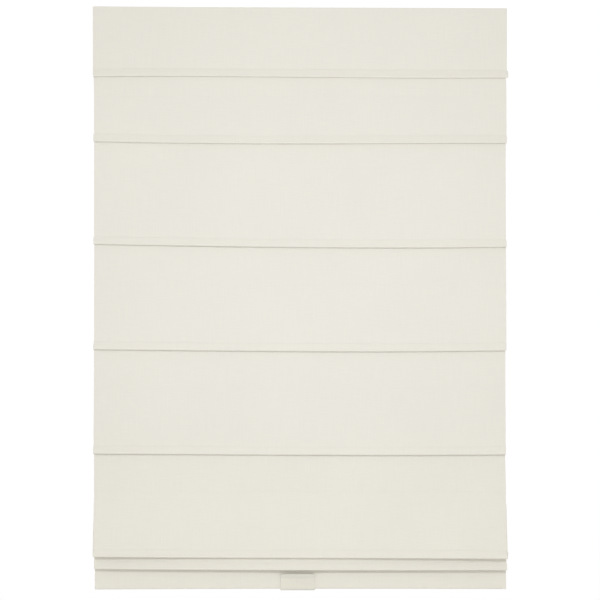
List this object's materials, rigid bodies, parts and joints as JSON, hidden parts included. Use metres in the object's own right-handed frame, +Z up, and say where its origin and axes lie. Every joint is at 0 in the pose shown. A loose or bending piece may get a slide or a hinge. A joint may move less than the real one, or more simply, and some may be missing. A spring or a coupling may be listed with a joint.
{
  "type": "roman blind",
  "caption": "Cordless roman blind: off-white cloth with sewn front tucks and back ribs, hung from a steel headrail with a spring-assisted lift, and a clear pull handle on the bottom hem.",
  "frame": {"origin": "centre of the four wall screws of the two brackets, on the wall plane", "axes": "+Y into the wall (the front faces -Y), +Z up, +X to the right as seen from the room"},
  "size_m": [0.8, 0.0588, 1.1298],
  "materials": {
    "cloth": "matt, fine polyester weave, off-white",
    "tape": "woven tape",
    "fibre_rod": "glass-fibre rod, slightly glossy",
    "clear_plastic": "clear moulded polycarbonate",
    "rail_paint": "white stove enamel on steel",
    "bar_steel": "white-coated steel flat",
    "bracket_zinc": "zinc-plated pressed steel",
    "shaft_steel": "bright drawn steel",
    "spring_steel": "blue tempered strip",
    "white_plastic": "satin moulded nylon",
    "cord": "braided polyester"
  },
  "bodies": {
    "root": {"shade_fabric": "cloth", "headrail": "rail_paint", "end_cap_left": "white_plastic", "end_cap_right": "white_plastic", "hook_tape": "tape", "loop_tape": "tape", "wall_bracket_left": "bracket_zinc", "wall_bracket_right": "bracket_zinc", "cradle_left": "white_plastic", "cradle_right": "white_plastic", "spring_motor_housing": "white_plastic", "spring_motor_cover": "white_plastic", "motor_spring": "spring_steel", "lift_cord_left": "cord", "lift_cord_right": "cord"},
    "drive": {"drive_shaft": "shaft_steel", "spool_left": "white_plastic", "spool_right": "white_plastic", "cord_winding_left": "cord", "cord_winding_right": "cord", "motor_arbor": "white_plastic"},
    "pleat_1": {"rod_1": "fibre_rod"},
    "fold_1": {"rib_1": "fibre_rod", "rib_tape_1": "tape", "ring_1": "clear_plastic"},
    "pleat_2": {"rod_2": "fibre_rod"},
    "fold_2": {"rib_2": "fibre_rod", "rib_tape_2": "tape", "ring_2": "clear_plastic"},
    "pleat_3": {"rod_3": "fibre_rod"},
    "fold_3": {"rib_3": "fibre_rod", "rib_tape_3": "tape", "ring_3": "clear_plastic"},
    "pleat_4": {"rod_4": "fibre_rod"},
    "fold_4": {"rib_4": "fibre_rod", "rib_tape_4": "tape", "ring_4": "clear_plastic"},
    "pleat_5": {"rod_5": "fibre_rod"},
    "fold_5": {"rib_5": "fibre_rod", "rib_tape_5": "tape", "ring_5": "clear_plastic"},
    "pleat_6": {"rod_6": "fibre_rod"},
    "fold_6": {"rib_6": "fibre_rod", "rib_tape_6": "tape", "ring_6": "clear_plastic"},
    "pleat_7": {"rod_7": "fibre_rod"},
    "fold_7": {"rib_7": "fibre_rod", "rib_tape_7": "tape", "ring_7": "clear_plastic", "bottom_bar": "bar_steel", "bottom_bar_cap_left": "white_plastic", "bottom_bar_cap_right": "white_plastic", "cord_anchor_left": "clear_plastic", "cord_anchor_right": "clear_plastic", "handle": "clear_plastic"}
  },
  "joints": [
    {"name": "shift_1_slide", "type": "slide", "parent": "root", "child": "pleat_1", "axis": [0, -0.9724, 0.2332], "range_m": [0, 0.03959]},
    {"name": "lift", "type": "slide", "parent": "pleat_1", "child": "fold_1", "axis": [0, 0.4054, 0.9141], "range_m": [0, 0.09497], "deforming": ["shade_fabric", "lift_cord_left", "lift_cord_right"]},
    {"name": "shift_2_slide", "type": "slide", "parent": "fold_1", "child": "pleat_2", "axis": [0, -0.9692, 0.2463], "range_m": [0, 0.03405]},
    {"name": "fold_2_slide", "type": "slide", "parent": "pleat_2", "child": "fold_2", "axis": [0, 0.2711, 0.9625], "range_m": [0, 0.12171]},
    {"name": "shift_3_slide", "type": "slide", "parent": "fold_2", "child": "pleat_3", "axis": [0, -0.9935, 0.1138], "range_m": [0, 0.02768]},
    {"name": "fold_3_slide", "type": "slide", "parent": "pleat_3", "child": "fold_3", "axis": [0, 0.1582, 0.9874], "range_m": [0, 0.17384]},
    {"name": "shift_4_slide", "type": "slide", "parent": "fold_3", "child": "pleat_4", "axis": [0, -0.9936, 0.1125], "range_m": [0, 0.02214]},
    {"name": "fold_4_slide", "type": "slide", "parent": "pleat_4", "child": "fold_4", "axis": [0, 0.1262, 0.992], "range_m": [0, 0.17436]},
    {"name": "shift_5_slide", "type": "slide", "parent": "fold_4", "child": "pleat_5", "axis": [0, -0.9961, 0.0882], "range_m": [0, 0.01657]},
    {"name": "fold_5_slide", "type": "slide", "parent": "pleat_5", "child": "fold_5", "axis": [0, 0.0949, 0.9955], "range_m": [0, 0.17389]},
    {"name": "shift_6_slide", "type": "slide", "parent": "fold_5", "child": "pleat_6", "axis": [0, 0.9979, -0.0641], "range_m": [0, 0.01103]},
    {"name": "drop", "type": "slide", "parent": "pleat_6", "child": "fold_6", "axis": [0, -0.0618, -0.9981], "range_m": [0, 0.17803], "deforming": ["shade_fabric", "lift_cord_left", "lift_cord_right"]},
    {"name": "shift_7_slide", "type": "slide", "parent": "fold_6", "child": "pleat_7", "axis": [0, 0.9992, -0.0398], "range_m": [0, 0.00551]},
    {"name": "fold_7_slide", "type": "slide", "parent": "pleat_7", "child": "fold_7", "axis": [0, -0.031, -0.9995], "range_m": [0, 0.17716]},
    {"name": "drive_turn", "type": "hinge", "parent": "root", "child": "drive", "pos_m": [0, -0.0212, -0.001], "axis": [1, 0, 0], "range_deg": [-5034.3, 0]}
  ],
  "couplings": [
    {"joint": "shift_1_slide", "follows": "lift", "ratio": 0.41687},
    {"joint": "shift_2_slide", "follows": "lift", "ratio": 0.35851},
    {"joint": "fold_2_slide", "follows": "lift", "ratio": 1.2815},
    {"joint": "shift_3_slide", "follows": "lift", "ratio": 0.29145},
    {"joint": "fold_3_slide", "follows": "lift", "ratio": 1.8304},
    {"joint": "shift_4_slide", "follows": "lift", "ratio": 0.23313},
    {"joint": "fold_4_slide", "follows": "lift", "ratio": 1.8359},
    {"joint": "shift_5_slide", "follows": "lift", "ratio": 0.17442},
    {"joint": "fold_5_slide", "follows": "lift", "ratio": 1.8309},
    {"joint": "shift_6_slide", "follows": "drop", "ratio": 0.061916},
    {"joint": "shift_7_slide", "follows": "drop", "ratio": 0.030916},
    {"joint": "fold_7_slide", "follows": "drop", "ratio": 0.99511},
    {"joint": "drive_turn", "follows": "lift", "rad_per_m": -924.61}
  ]
}
